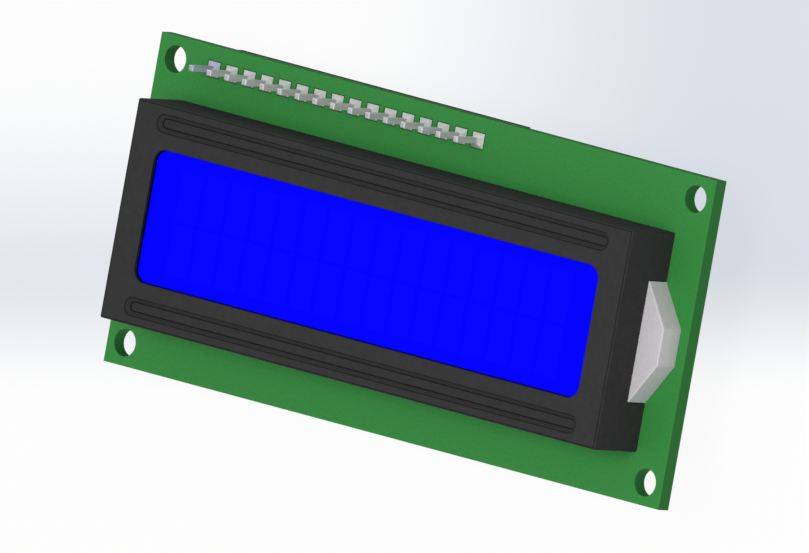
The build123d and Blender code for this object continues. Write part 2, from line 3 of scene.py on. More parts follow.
import bpy
from mathutils import Matrix, Vector


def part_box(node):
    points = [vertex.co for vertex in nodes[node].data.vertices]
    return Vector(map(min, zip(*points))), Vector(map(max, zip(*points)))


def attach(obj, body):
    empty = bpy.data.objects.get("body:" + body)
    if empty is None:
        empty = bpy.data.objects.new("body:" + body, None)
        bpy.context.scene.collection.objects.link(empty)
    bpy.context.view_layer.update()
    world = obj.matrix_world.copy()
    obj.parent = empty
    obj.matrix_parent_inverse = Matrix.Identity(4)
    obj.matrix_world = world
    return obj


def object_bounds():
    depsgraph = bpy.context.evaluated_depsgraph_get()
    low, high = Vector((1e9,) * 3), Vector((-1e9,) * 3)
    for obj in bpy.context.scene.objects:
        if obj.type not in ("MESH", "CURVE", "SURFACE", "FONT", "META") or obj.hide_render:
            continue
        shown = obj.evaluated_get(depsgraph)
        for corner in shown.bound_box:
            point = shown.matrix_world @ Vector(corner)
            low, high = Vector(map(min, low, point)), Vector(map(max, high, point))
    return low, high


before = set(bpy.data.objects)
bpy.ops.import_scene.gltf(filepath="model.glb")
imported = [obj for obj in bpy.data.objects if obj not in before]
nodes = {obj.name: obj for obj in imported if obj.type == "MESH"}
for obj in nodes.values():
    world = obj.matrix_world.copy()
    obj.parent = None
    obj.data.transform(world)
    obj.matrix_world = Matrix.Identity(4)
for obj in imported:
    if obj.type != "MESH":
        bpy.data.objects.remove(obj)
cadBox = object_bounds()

scene = bpy.context.scene
mm = 0.001
wavePeriod = 0.314   # a wave texture of scale 1 repeats after this many metres


def feed(tree, socket, source):
    # the source is a value or another node's output
    if isinstance(source, (int, float, tuple)):
        socket.default_value = source
    else:
        tree.links.new(source, socket)


def addNode(tree, kind, place, settings=None, values=None):
    node = tree.nodes.new(kind)
    node.location = place
    for name, value in (settings or {}).items():
        setattr(node, name, value)
    for name, value in (values or {}).items():
        feed(tree, node.inputs[name], value)
    return node


def mathNode(tree, operation, place, *sources):
    node = addNode(tree, "ShaderNodeMath", place, {"operation": operation}, dict(enumerate(sources)))
    return node.outputs[0]


def vectorNode(tree, operation, place, *sources):
    node = addNode(tree, "ShaderNodeVectorMath", place, {"operation": operation}, dict(enumerate(sources)))
    return node.outputs["Value" if operation == "DOT_PRODUCT" else "Vector"]


def axesOf(tree, place, source):
    return addNode(tree, "ShaderNodeSeparateXYZ", place, values={0: source}).outputs


def remap(tree, source, place, low, high, newLow, newHigh, smooth=True):
    node = addNode(tree, "ShaderNodeMapRange", place,
                   {"interpolation_type": "SMOOTHSTEP" if smooth else "LINEAR", "clamp": True},
                   {"Value": source, "From Min": low, "From Max": high,
                    "To Min": newLow, "To Max": newHigh})
    return node.outputs["Result"]


def objectPlace(tree, place):
    return addNode(tree, "ShaderNodeTexCoord", place).outputs["Object"]


def trueNormal(tree, place):
    return addNode(tree, "ShaderNodeNewGeometry", place).outputs["True Normal"]


def noiseNode(tree, place, where, values):
    return addNode(tree, "ShaderNodeTexNoise", place, values={"Vector": where, **values}).outputs["Fac"]


def waveBands(tree, place, direction, period, values):
    where = objectPlace(tree, (place[0] - 200, place[1]))
    return addNode(tree, "ShaderNodeTexWave", place, {"bands_direction": direction},
                   {"Vector": where, "Scale": wavePeriod / period, **values}).outputs["Fac"]


def startGroup(name, inputs, outputs):
    group = bpy.data.node_groups.new(name, "ShaderNodeTree")
    for label, value in inputs.items():
        kind = "NodeSocketVector" if isinstance(value, tuple) else "NodeSocketFloat"
        socket = group.interface.new_socket(name=label, in_out="INPUT", socket_type=kind)
        socket.default_value = value
    for label in outputs:
        group.interface.new_socket(name=label, in_out="OUTPUT", socket_type="NodeSocketFloat")
    start = addNode(group, "NodeGroupInput", (-900, 0))
    end = addNode(group, "NodeGroupOutput", (900, 0))
    return group, start.outputs, end.inputs


# What the effects' noises are made of, and the spans that hold most of their values
effects = {
    "specks": {"Detail": 3.0, "Roughness": 0.6}, "tintSpan": (0.3, 0.7),
    "clouds": {"Detail": 4.0, "Roughness": 0.55, "Distortion": 0.4}, "cloudSpan": (0.32, 0.68),
    "breaks": {"Scale": 500.0, "Detail": 3.0}, "breakSpan": (0.35, 0.65), "leastRub": 0.2,
    "streaks": {"Scale": 1.0, "Detail": 2.0},
}


def tintFrom(group, noise, contrast):
    # a factor that varies about one, from a noise that varies about a half
    low = mathNode(group, "SUBTRACT", (100, -200), 1.0, contrast)
    high = mathNode(group, "ADD", (100, -350), 1.0, contrast)
    return remap(group, noise, (300, 0), *effects["tintSpan"], low, high)


def gapsInBox(group, given):
    # the gap along each axis from a place to the nearer side of the box, below zero outside it
    place = objectPlace(group, (-900, 300))
    gaps = [vectorNode(group, "SUBTRACT", (-700, -250 * row), *pair)
            for row, pair in enumerate(((place, given["Low"]), (given["High"], place)))]
    return place, axesOf(group, (-300, 0), vectorNode(group, "MINIMUM", (-500, 0), *gaps))


# Fine grain: a cloud of small specks, for lacquers, mouldings and metals
def makeFineGrain():
    group, given, made = startGroup("fineGrain", {"Scale": 2000.0, "Contrast": 0.1}, ("Tint", "Height"))
    noise = noiseNode(group, (-500, 0), objectPlace(group, (-700, 200)),
                      {"Scale": given["Scale"], **effects["specks"]})
    group.links.new(tintFrom(group, noise, given["Contrast"]), made["Tint"])
    group.links.new(noise, made["Height"])
    return group


# Patchy gloss: broad soft areas where the surface is duller, as handling leaves it
def makePatchyGloss():
    group, given, made = startGroup(
        "patchyGloss", {"Scale": 120.0, "Low": 0.3, "High": 0.45}, ("Roughness",))
    noise = noiseNode(group, (-500, 0), objectPlace(group, (-700, 200)),
                      {"Scale": given["Scale"], **effects["clouds"]})
    patches = remap(group, noise, (0, 0), *effects["cloudSpan"], given["Low"], given["High"])
    group.links.new(patches, made["Roughness"])
    return group


# Glass cloth: the warp and weft that show faintly through a board's lacquer
def makeGlassCloth():
    group, given, made = startGroup("glassCloth", {"Pitch": 0.0007}, ("Height",))
    parts = axesOf(group, (-600, 0), objectPlace(group, (-800, 0)))
    turns = mathNode(group, "DIVIDE", (-600, -250), math.pi, given["Pitch"])
    waves = []
    for row, axis in enumerate(("X", "Y")):
        angle = mathNode(group, "MULTIPLY", (-350, -200 * row), parts[axis], turns)
        waves.append(mathNode(group, "SINE", (-150, -200 * row), angle))
    product = mathNode(group, "MULTIPLY", (100, 0), *waves)
    group.links.new(mathNode(group, "MULTIPLY_ADD", (350, 0), product, 0.5, 0.5), made["Height"])
    return group


# Edge rub: paler lines along the edges of a box-shaped piece, broken up by noise. The middle one of
# the three gaps is small only near an edge.
def makeEdgeRub():
    group, given, made = startGroup(
        "edgeRub", {"Low": (0.0, 0.0, 0.0), "High": (1.0, 1.0, 1.0), "Width": 0.0003}, ("Mask",))
    place, (x, y, z) = gapsInBox(group, given)
    smaller = mathNode(group, "MINIMUM", (-100, 100), x, y)
    larger = mathNode(group, "MAXIMUM", (-100, -50), x, y)
    larger = mathNode(group, "MINIMUM", (0, -200), larger, z)
    middleGap = mathNode(group, "MAXIMUM", (100, 0), smaller, larger)
    noise = noiseNode(group, (-100, 400), place, effects["breaks"])
    broken = remap(group, noise, (100, 500), *effects["breakSpan"], effects["leastRub"], 1.0)
    width = mathNode(group, "MULTIPLY", (200, 300), given["Width"], broken)
    group.links.new(remap(group, middleGap, (450, 0), 0.0, width, 1.0, 0.0), made["Mask"])
    return group


# Drawn metal: long fine lines along one axis, as plating over drawn wire has
def makeDrawnLines():
    group, given, made = startGroup(
        "drawnLines", {"Across": 4000.0, "Along": 200.0, "Contrast": 0.1, "Axis": (0.0, 0.0, 1.0)},
        ("Tint", "Height"))
    slower = mathNode(group, "SUBTRACT", (-750, -350), given["Along"], given["Across"])
    scales = vectorNode(group, "MULTIPLY_ADD", (-400, -200), given["Axis"], slower, given["Across"])
    place = vectorNode(group, "MULTIPLY", (-200, 0), objectPlace(group, (-400, 200)), scales)
    noise = noiseNode(group, (0, 0), place, effects["streaks"])
    group.links.new(tintFrom(group, noise, given["Contrast"]), made["Tint"])
    group.links.new(noise, made["Height"])
    return group


# Copper traces under lacquer: even lines across one direction, inside one box
def makeTraceBundle():
    group, given, made = startGroup(
        "traceBundle", {"Low": (0.0, 0.0, 0.0), "High": (0.01, 0.01, 0.0), "Across": (0.0, 1.0, 0.0),
                        "Pitch": 0.0006, "Duty": 0.45}, ("Mask",))
    place, gaps = gapsInBox(group, given)
    nearer = mathNode(group, "MINIMUM", (-150, 0), gaps["X"], gaps["Y"])
    within = mathNode(group, "GREATER_THAN", (0, 0), nearer, 0.0)
    across = vectorNode(group, "DOT_PRODUCT", (-500, 300), place, given["Across"])
    count = mathNode(group, "DIVIDE", (-300, 300), across, given["Pitch"])
    offset = mathNode(group, "SUBTRACT", (0, 300), mathNode(group, "FRACT", (-100, 300), count), 0.5)
    half = mathNode(group, "DIVIDE", (200, 150), given["Duty"], 2.0)
    line = mathNode(group, "LESS_THAN", (350, 300), mathNode(group, "ABSOLUTE", (100, 300), offset), half)
    group.links.new(mathNode(group, "MULTIPLY", (600, 100), within, line), made["Mask"])
    return group


# Round-cornered outline: the distance from its edge, below zero inside. Beads, the window, the fold
# and the boards' borders are drawn with it.
def makeRoundedEdge():
    group, given, made = startGroup(
        "roundedEdge", {"Centre": (0.0, 0.0, 0.0), "Half": (0.01, 0.01, 0.0), "Corner": 0.001},
        ("Distance",))
    offset = vectorNode(group, "SUBTRACT", (-700, 100), objectPlace(group, (-900, 200)), given["Centre"])
    mirrored = vectorNode(group, "ABSOLUTE", (-500, 100), offset)
    beyond = axesOf(group, (-100, 100), vectorNode(group, "SUBTRACT", (-300, 100), mirrored, given["Half"]))
    sides, squares = [], []
    for row, axis in enumerate(("X", "Y")):
        sides.append(mathNode(group, "ADD", (100, -200 * row), beyond[axis], given["Corner"]))
        past = mathNode(group, "MAXIMUM", (250, -200 * row), sides[row], 0.0)
        squares.append(mathNode(group, "POWER", (400, -200 * row), past, 2.0))
    outside = mathNode(group, "SQRT", (600, 0), mathNode(group, "ADD", (500, 0), *squares))
    inside = mathNode(group, "MINIMUM", (500, -300), mathNode(group, "MAXIMUM", (350, -400), *sides), 0.0)
    reach = mathNode(group, "ADD", (700, -100), outside, inside)
    group.links.new(mathNode(group, "SUBTRACT", (800, -100), reach, given["Corner"]), made["Distance"])
    return group


fineGrain, patchyGloss, glassCloth = makeFineGrain(), makePatchyGloss(), makeGlassCloth()
edgeRub, drawnLines, roundedEdge = makeEdgeRub(), makeDrawnLines(), makeRoundedEdge()
traceBundle = makeTraceBundle()
print("effects ready:", len(bpy.data.node_groups))


def startMaterial(name, colour, shader):
    material = bpy.data.materials.new(name)
    material.use_nodes = True
    tree = material.node_tree
    surface = tree.nodes["Principled BSDF"]
    surface.inputs["Base Color"].default_value = (*colour, 1.0)
    for label, value in shader.items():
        surface.inputs[label].default_value = value
    return material, tree, surface


def useGroup(tree, group, place, values):
    return addNode(tree, "ShaderNodeGroup", place, {"node_tree": group}, values).outputs


def distanceFrom(tree, place, centre, half, corner):
    return useGroup(tree, roundedEdge, place,
                    {"Centre": (*centre, 0.0), "Half": (*half, 0.0), "Corner": corner})["Distance"]


def mixColours(tree, place, amount, first, second, blend="MIX"):
    node = addNode(tree, "ShaderNodeMix", place, {"data_type": "RGBA", "blend_type": blend})
    sockets = {socket.identifier: socket for socket in (*node.inputs, *node.outputs)}
    for name, source in (("Factor_Float", amount), ("A_Color", first), ("B_Color", second)):
        feed(tree, sockets[name], (*source, 1.0) if isinstance(source, tuple) else source)
    return sockets["Result_Color"]


def addGloss(tree, surface, scale, span):
    gloss = useGroup(tree, patchyGloss, (-900, -100), {"Scale": scale, "Low": span[0], "High": span[1]})
    tree.links.new(gloss["Roughness"], surface.inputs["Roughness"])


def addBump(tree, normal, height, depth, strength=1.0, place=(-200, -400)):
    # feeds a normal socket, and gives back the bump's own, which takes the next bump down
    bump = addNode(tree, "ShaderNodeBump", place,
                   values={"Strength": strength, "Distance": depth, "Height": height})
    tree.links.new(bump.outputs["Normal"], normal)
    return bump.inputs["Normal"]


# What most finishes share: a tinted grain, patchy gloss and a grain that can be felt
def finish(name, look):
    material, tree, surface = startMaterial(name, look["colour"], look["shader"])
    grain = useGroup(tree, fineGrain, (-900, 200), {"Scale": look["grain"], "Contrast": look["contrast"]})
    tinted = mixColours(tree, (-300, 200), 1.0, look["colour"], grain["Tint"], "MULTIPLY")
    tree.links.new(tinted, surface.inputs["Base Color"])
    addGloss(tree, surface, look["patches"], look["gloss"])
    addBump(tree, surface.inputs["Normal"], grain["Height"], look["relief"])
    return material, tree, surface, tinted


def dress(names, material):
    for name in names:
        mesh = nodes[name].data
        mesh.materials.clear()
        mesh.materials.append(material)


def addRub(tree, surface, box, colour, tone, width):
    # paler along the edges of the box, which is given by its two corners
    rub = useGroup(tree, edgeRub, (-600, 500),
                   {"Low": tuple(box[0]), "High": tuple(box[1]), "Width": width})
    rubbed = mixColours(tree, (-100, 300), rub["Mask"], colour, tone)
    tree.links.new(rubbed, surface.inputs["Base Color"])
    return rubbed


# Circuit boards: satin lacquer over glass cloth, rough sawn edges, and copper traces on their backs.
# Each trace bundle is its box's two corners, the direction across its lines and their pitch. Those
# and the borders are in mm.
alongX, alongY, risingX, fallingX = (0.0, 1.0), (1.0, 0.0), (-0.7071, 0.7071), (0.7071, 0.7071)
boards = {
    "greenLacquer": {
        "node": "display_board", "colour": (0.034, 0.226, 0.046), "shadedEdgeColour": (0.034, 0.19, 0.044),
        "copper": (0.060, 0.315, 0.062), "border": 0.9, "borderWidth": 1.1,
        "grain": 2600.0, "contrast": 0.05, "patches": 90.0, "gloss": (0.38, 0.52),
        "relief": 0.000004, "shader": {"Specular IOR Level": 0.1},
        "traces": (
            ((-6.4, -11.0), (10.9, -2.6), alongX, 0.62), ((-31.0, -10.6), (-17.6, -3.0), alongX, 0.62),
            ((24.2, -10.6), (33.4, -3.4), alongX, 0.7), ((-16.4, -14.6), (-7.6, -12.1), alongY, 0.7),
            ((12.2, -15.2), (22.8, -13.1), alongY, 0.7), ((12.4, 0.4), (22.6, 4.9), alongY, 0.8),
            ((9.9, 8.4), (22.7, 13.2), alongY, 1.27), ((9.4, 13.6), (33.5, 15.6), alongX, 0.6),
            ((25.4, -2.4), (33.6, 6.4), risingX, 0.8), ((26.0, 6.9), (33.6, 12.4), alongX, 0.9),
            ((-38.0, -6.4), (-36.6, 8.0), alongY, 0.5), ((-31.0, -16.2), (-18.0, -12.6), fallingX, 0.8),
            ((24.4, -16.4), (33.4, -11.6), fallingX, 0.8), ((-5.8, -16.4), (10.6, -13.4), alongX, 0.75),
        ),
    },
    "blackLacquer": {
        "node": "adapter_board", "colour": (0.017, 0.019, 0.026), "shadedEdgeColour": (0.014, 0.015, 0.021),
        "copper": (0.030, 0.033, 0.044), "border": 0.5, "borderWidth": 0.6,
        "grain": 2600.0, "contrast": 0.08, "patches": 90.0, "gloss": (0.35, 0.5),
        "relief": 0.000004, "shader": {"Specular IOR Level": 0.1},
        "traces": (
            ((-2.2, 1.6), (3.0, 11.6), alongX, 1.27), ((-28.2, 3.0), (-25.8, 10.4), alongX, 1.1),
            ((-18.4, 8.9), (-13.6, 13.6), alongY, 0.8), ((-18.4, -0.6), (-13.6, 4.3), alongY, 0.8),
            ((-31.0, 13.7), (6.0, 14.5), alongY, 2.54), ((-12.6, -1.0), (-3.4, -0.7), alongY, 0.9),
            ((-1.8, 12.0), (3.6, 13.6), risingX, 0.7), ((-29.8, -0.6), (-19.0, 2.2), alongX, 0.7),
        ),
    },
}
boardShared = {
    "faceAbove": 0.5,   # a face's normal is more upright than this, and a sawn edge's less
    "cloth": 0.7 * mm, "clothRelief": 0.006 * mm, "clothStrength": 0.5,
    "traceRelief": 0.035 * mm, "traceStrength": 0.6,
    "edgeRoughness": 0.95, "plyHeight": 0.3 * mm, "plyTones": (0.82, 0.98),
    "plyWaver": {"Distortion": 0.6, "Detail": 2.0, "Detail Scale": 0.2},
}
# Dark ring round the header's heaps of solder, on the green board's front: flux residue, and painted shade
# at the heaps' feet
heapLow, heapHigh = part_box("first_front_joint")
fluxAndShade = {
    "colour": (0.006, 0.045, 0.009), "reach": (0.03 * mm, 0.2 * mm), "strength": 0.85,
    "first": tuple((heapLow + heapHigh).xy / 2), "half": (heapHigh.x - heapLow.x) / 2,
    "pitch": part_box("header_pin_02")[0].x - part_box("header_pin_01")[0].x, "count": 16,
}


def copperOn(tree, look):
    # one on the copper: a border along the board's edge, and the bundles of traces
    low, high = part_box(look["node"])
    outline = distanceFrom(tree, (-2100, 1000), ((low + high) / 2).xy, ((high - low) / 2).xy, 0.0)
    half = look["borderWidth"] / 2
    copper = mathNode(tree, "COMPARE", (-1900, 1000), outline, -(look["border"] + half) * mm, half * mm)
    for row, (first, second, across, pitch) in enumerate(look["traces"]):
        bundle = useGroup(tree, traceBundle, (-2100, 800 - 220 * row), {
            "Low": (first[0] * mm, first[1] * mm, 0.0), "High": (second[0] * mm, second[1] * mm, 0.0),
            "Across": (*across, 0.0), "Pitch": pitch * mm})
        copper = mathNode(tree, "MAXIMUM", (-1800, 800 - 220 * row), copper, bundle["Mask"])
    return copper


def pastHeaps(tree):
    # the distance from the foot of the nearest heap of solder, below zero under it
    along = axesOf(tree, (-2100, 1500), objectPlace(tree, (-2300, 1500)))
    passed = mathNode(tree, "SUBTRACT", (-2000, 1600), along["X"], fluxAndShade["first"][0])
    count = mathNode(tree, "DIVIDE", (-1900, 1500), passed, fluxAndShade["pitch"])
    notBefore = mathNode(tree, "MAXIMUM", (-1750, 1600), mathNode(tree, "ROUND", (-1800, 1500), count), 0.0)
    nearest = mathNode(tree, "MINIMUM", (-1700, 1500), notBefore, fluxAndShade["count"] - 1.0)
    stray = mathNode(tree, "SUBTRACT", (-1600, 1500), count, nearest)
    offsets = (mathNode(tree, "MULTIPLY", (-1550, 1600), stray, fluxAndShade["pitch"]),
               mathNode(tree, "SUBTRACT", (-1700, 1300), along["Y"], fluxAndShade["first"][1]))
    away = [mathNode(tree, "ABSOLUTE", (-1500, 1500 - 200 * row), offset)
            for row, offset in enumerate(offsets)]
    farther = mathNode(tree, "MAXIMUM", (-1350, 1400), *away)
    return mathNode(tree, "SUBTRACT", (-1200, 1400), farther, fluxAndShade["half"])


for name, look in boards.items():
    material, tree, surface, tinted = finish(name, look)
    facing = axesOf(tree, (-1100, 700), trueNormal(tree, (-1300, 700)))["Z"]
    back = mathNode(tree, "LESS_THAN", (-700, 900), facing, -boardShared["faceAbove"])
    copper = mathNode(tree, "MULTIPLY", (-700, 1100), copperOn(tree, look), back)
    tinted = mixColours(tree, (-300, 900), copper, tinted, look["copper"])
    if name == "greenLacquer":
        # flux residue and painted shade: a dark ring round each heap's foot
        front = mathNode(tree, "GREATER_THAN", (-1200, 1200), facing, boardShared["faceAbove"])
        stainedAndShaded = remap(tree, pastHeaps(tree), (-1000, 1400), *fluxAndShade["reach"], fluxAndShade["strength"], 0.0)
        stainedAndShaded = mathNode(tree, "MULTIPLY", (-900, 1300), front, stainedAndShaded)
        tinted = mixColours(tree, (-200, 1100), stainedAndShaded, tinted, fluxAndShade["colour"])

    upright = mathNode(tree, "ABSOLUTE", (-900, 700), facing)
    edge = mathNode(tree, "LESS_THAN", (-700, 700), upright, boardShared["faceAbove"])
    plies = waveBands(tree, (-900, 500), "Z", boardShared["plyHeight"], boardShared["plyWaver"])
    shade = remap(tree, plies, (-700, 500), 0.0, 1.0, *boardShared["plyTones"])
    # the sawn edges take a darker copy of the lacquer's colour, painted shade on the boards' sides; the ply
    # bands are the laminate's own
    sawn = mixColours(tree, (-500, 500), shade, (0.0, 0.0, 0.0), look["shadedEdgeColour"])
    tree.links.new(mixColours(tree, (-100, 300), edge, tinted, sawn), surface.inputs["Base Color"])
    gloss = surface.inputs["Roughness"].links[0].from_socket
    rough = remap(tree, edge, (-300, -50), 0.0, 1.0, gloss, boardShared["edgeRoughness"], False)
    tree.links.new(rough, surface.inputs["Roughness"])

    cloth = useGroup(tree, glassCloth, (-900, -400), {"Pitch": boardShared["cloth"]})
    underGrain = surface.inputs["Normal"].links[0].from_node.inputs["Normal"]
    underCloth = addBump(tree, underGrain, cloth["Height"], boardShared["clothRelief"],
                         boardShared["clothStrength"], (-400, -600))
    addBump(tree, underCloth, copper, boardShared["traceRelief"], boardShared["traceStrength"],
            (-600, -800))
    dress([look["node"]], material)
print("boards dressed")

# Bezel: black enamel on folded steel, a little rubbed along its folds, with painted shade in dark lines
# along its two beads, its window's edge and its folds
bezelLow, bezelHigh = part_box("bezel_frame")
bezelPaint = {
    "colour": (0.034, 0.034, 0.034), "grain": 1500.0, "contrast": 0.06, "patches": 70.0,
    "gloss": (0.72, 0.86), "relief": 0.000006, "shader": {"Specular IOR Level": 0.04},
    "rubColour": (0.043, 0.043, 0.043), "rubWidth": 0.12 * mm,
    "middle": tuple((bezelLow + bezelHigh).xy / 2),
    "beadOffset": 10.0 * mm, "beadHalf": (32.5 * mm, 1.0 * mm),
    "creaseInside": 0.5 * mm, "shadeLineWidth": 0.12 * mm, "creaseShade": 0.8, "rimShade": 0.6,
    "windowHalf": (32.0 * mm, 7.25 * mm), "windowCorner": 1.5 * mm,
    "outerHalf": (35.65 * mm, 12.0 * mm),   # the folded sheet's own outside, without its tabs
    "foldInside": 0.18 * mm, "foldCorner": 0.3 * mm, "foldShade": 0.6,
}


def shadeLineAlong(tree, distance, place, where, depth):
    # one minus a narrow dip where the distance is equal to where: a line of painted shade
    offset = mathNode(tree, "SUBTRACT", (place[0] - 300, place[1]), distance, where)
    away = mathNode(tree, "ABSOLUTE", (place[0] - 150, place[1]), offset)
    return remap(tree, away, place, 0.0, bezelPaint["shadeLineWidth"], 1.0 - depth, 1.0)


def windowDistance(tree, place):
    return distanceFrom(tree, place, bezelPaint["middle"], bezelPaint["windowHalf"],
                        bezelPaint["windowCorner"])


material, tree, surface, tinted = finish("bezelEnamel", bezelPaint)
centre, half = Vector(bezelPaint["middle"]), Vector(bezelPaint["outerHalf"])
# the rub's box reaches to twice the tabs' depth, so that their ends stay as painted
outerLow, outerHigh = Vector((*(centre - half), 2 * bezelLow.z)), Vector((*(centre + half), bezelHigh.z))
rubbed = addRub(tree, surface, (outerLow, outerHigh), tinted, bezelPaint["rubColour"],
                bezelPaint["rubWidth"])
# painted shade: dark lines at each bead's rim and in its crease, along the window's edge and just inside
# the fold
lines = []
for row, side in enumerate((-1, 1)):
    beadCentre = (centre.x, centre.y + side * bezelPaint["beadOffset"])
    bead = distanceFrom(tree, (-1500, 800 - 400 * row), beadCentre, bezelPaint["beadHalf"],
                        bezelPaint["beadHalf"][1])
    for inset, depth in ((0.0, bezelPaint["rimShade"]),
                         (-bezelPaint["creaseInside"], bezelPaint["creaseShade"])):
        lines.append(shadeLineAlong(tree, bead, (-900, 1000 - 200 * len(lines)), inset, depth))
window = windowDistance(tree, (-1500, 0))
lines.append(shadeLineAlong(tree, window, (-900, 100), 0.0, bezelPaint["rimShade"]))
fold = distanceFrom(tree, (-1500, -400), centre, half, bezelPaint["foldCorner"])
lines.append(shadeLineAlong(tree, fold, (-900, -300), -bezelPaint["foldInside"], bezelPaint["foldShade"]))
# the lines of painted shade darken the rubbed enamel
for row, line in enumerate(lines):
    rubbed = mixColours(tree, (150 * row, 700), 1.0, rubbed, line, "MULTIPLY")
tree.links.new(rubbed, surface.inputs["Base Color"])
dress(["bezel_frame"], material)
print("bezel dressed")

# Display: blue film that glows inside the window, with the faint matrix of its cells, and painted shade in
# a narrow band along the window's edge
displayFilm = {
    "colour": (0.0, 0.0, 0.25), "glow": (0.0, 0.0, 1.0), "dotGlow": (0.0008, 0.0010, 1.0),
    "unlit": (0.0, 0.0, 0.012), "glowStrength": 0.85, "paintedShadeRim": (0.03 * mm, 0.12 * mm),
    "shader": {"Specular IOR Level": 0.02, "Roughness": 0.5},
    "glossPatches": 60.0, "gloss": (0.4, 0.5),
    # the cells are counted and measured along X and then Y
    "cells": (16, 2), "cellPitch": (3.55 * mm, 5.95 * mm), "cellSize": (2.95 * mm, 5.55 * mm),
    "dotPitch": (0.6 * mm, 0.7 * mm), "dotSize": (0.55 * mm, 0.65 * mm),
}


# Cell matrix: one where a dot of the display is, along X or Y
def dotsAlong(tree, place, axis):
    count, pitch, size, dotPitch, dotSize = (
        displayFilm[name][axis] for name in ("cells", "cellPitch", "cellSize", "dotPitch", "dotSize"))
    along = axesOf(tree, (place[0] - 200, place[1]), objectPlace(tree, (place[0] - 400, place[1])))[axis]
    start = bezelPaint["middle"][axis] - (count * pitch - (pitch - size)) / 2
    offset = mathNode(tree, "SUBTRACT", place, along, start)
    within = mathNode(tree, "COMPARE", (place[0] + 150, place[1] + 120), offset, count * pitch / 2,
                      count * pitch / 2)
    inCell = mathNode(tree, "MODULO", (place[0] + 150, place[1]), offset, pitch)
    onCell = mathNode(tree, "LESS_THAN", (place[0] + 300, place[1] + 60), inCell, size)
    inDot = mathNode(tree, "MODULO", (place[0] + 300, place[1] - 60), inCell, dotPitch)
    onDot = mathNode(tree, "LESS_THAN", (place[0] + 450, place[1] - 60), inDot, dotSize)
    cell = mathNode(tree, "MULTIPLY", (place[0] + 600, place[1] + 60), within, onCell)
    return mathNode(tree, "MULTIPLY", (place[0] + 750, place[1]), cell, onDot)


material, tree, surface = startMaterial("blueFilm", displayFilm["colour"], displayFilm["shader"])
surface.inputs["Emission Strength"].default_value = displayFilm["glowStrength"]
dotsX, dotsY = (dotsAlong(tree, (-1700, 500 - 400 * axis), axis) for axis in (0, 1))
dots = mathNode(tree, "MULTIPLY", (-700, 300), dotsX, dotsY)
lit = mixColours(tree, (-500, 300), dots, displayFilm["glow"], displayFilm["dotGlow"])
# painted shade: the glow fades to the unlit colour in a narrow band inside the window's edge
rimEnd, rimStart = displayFilm["paintedShadeRim"]
masked = remap(tree, windowDistance(tree, (-900, -300)), (-600, -300), -rimStart, -rimEnd, 0.0, 1.0)
shown = mixColours(tree, (-300, 200), masked, lit, displayFilm["unlit"])
tree.links.new(shown, surface.inputs["Emission Color"])
body = mixColours(tree, (-300, 0), masked, displayFilm["colour"], displayFilm["unlit"])
tree.links.new(body, surface.inputs["Base Color"])
addGloss(tree, surface, displayFilm["glossPatches"], displayFilm["gloss"])
dress(["front_polarizer", "rear_polarizer"], material)
print("display dressed")

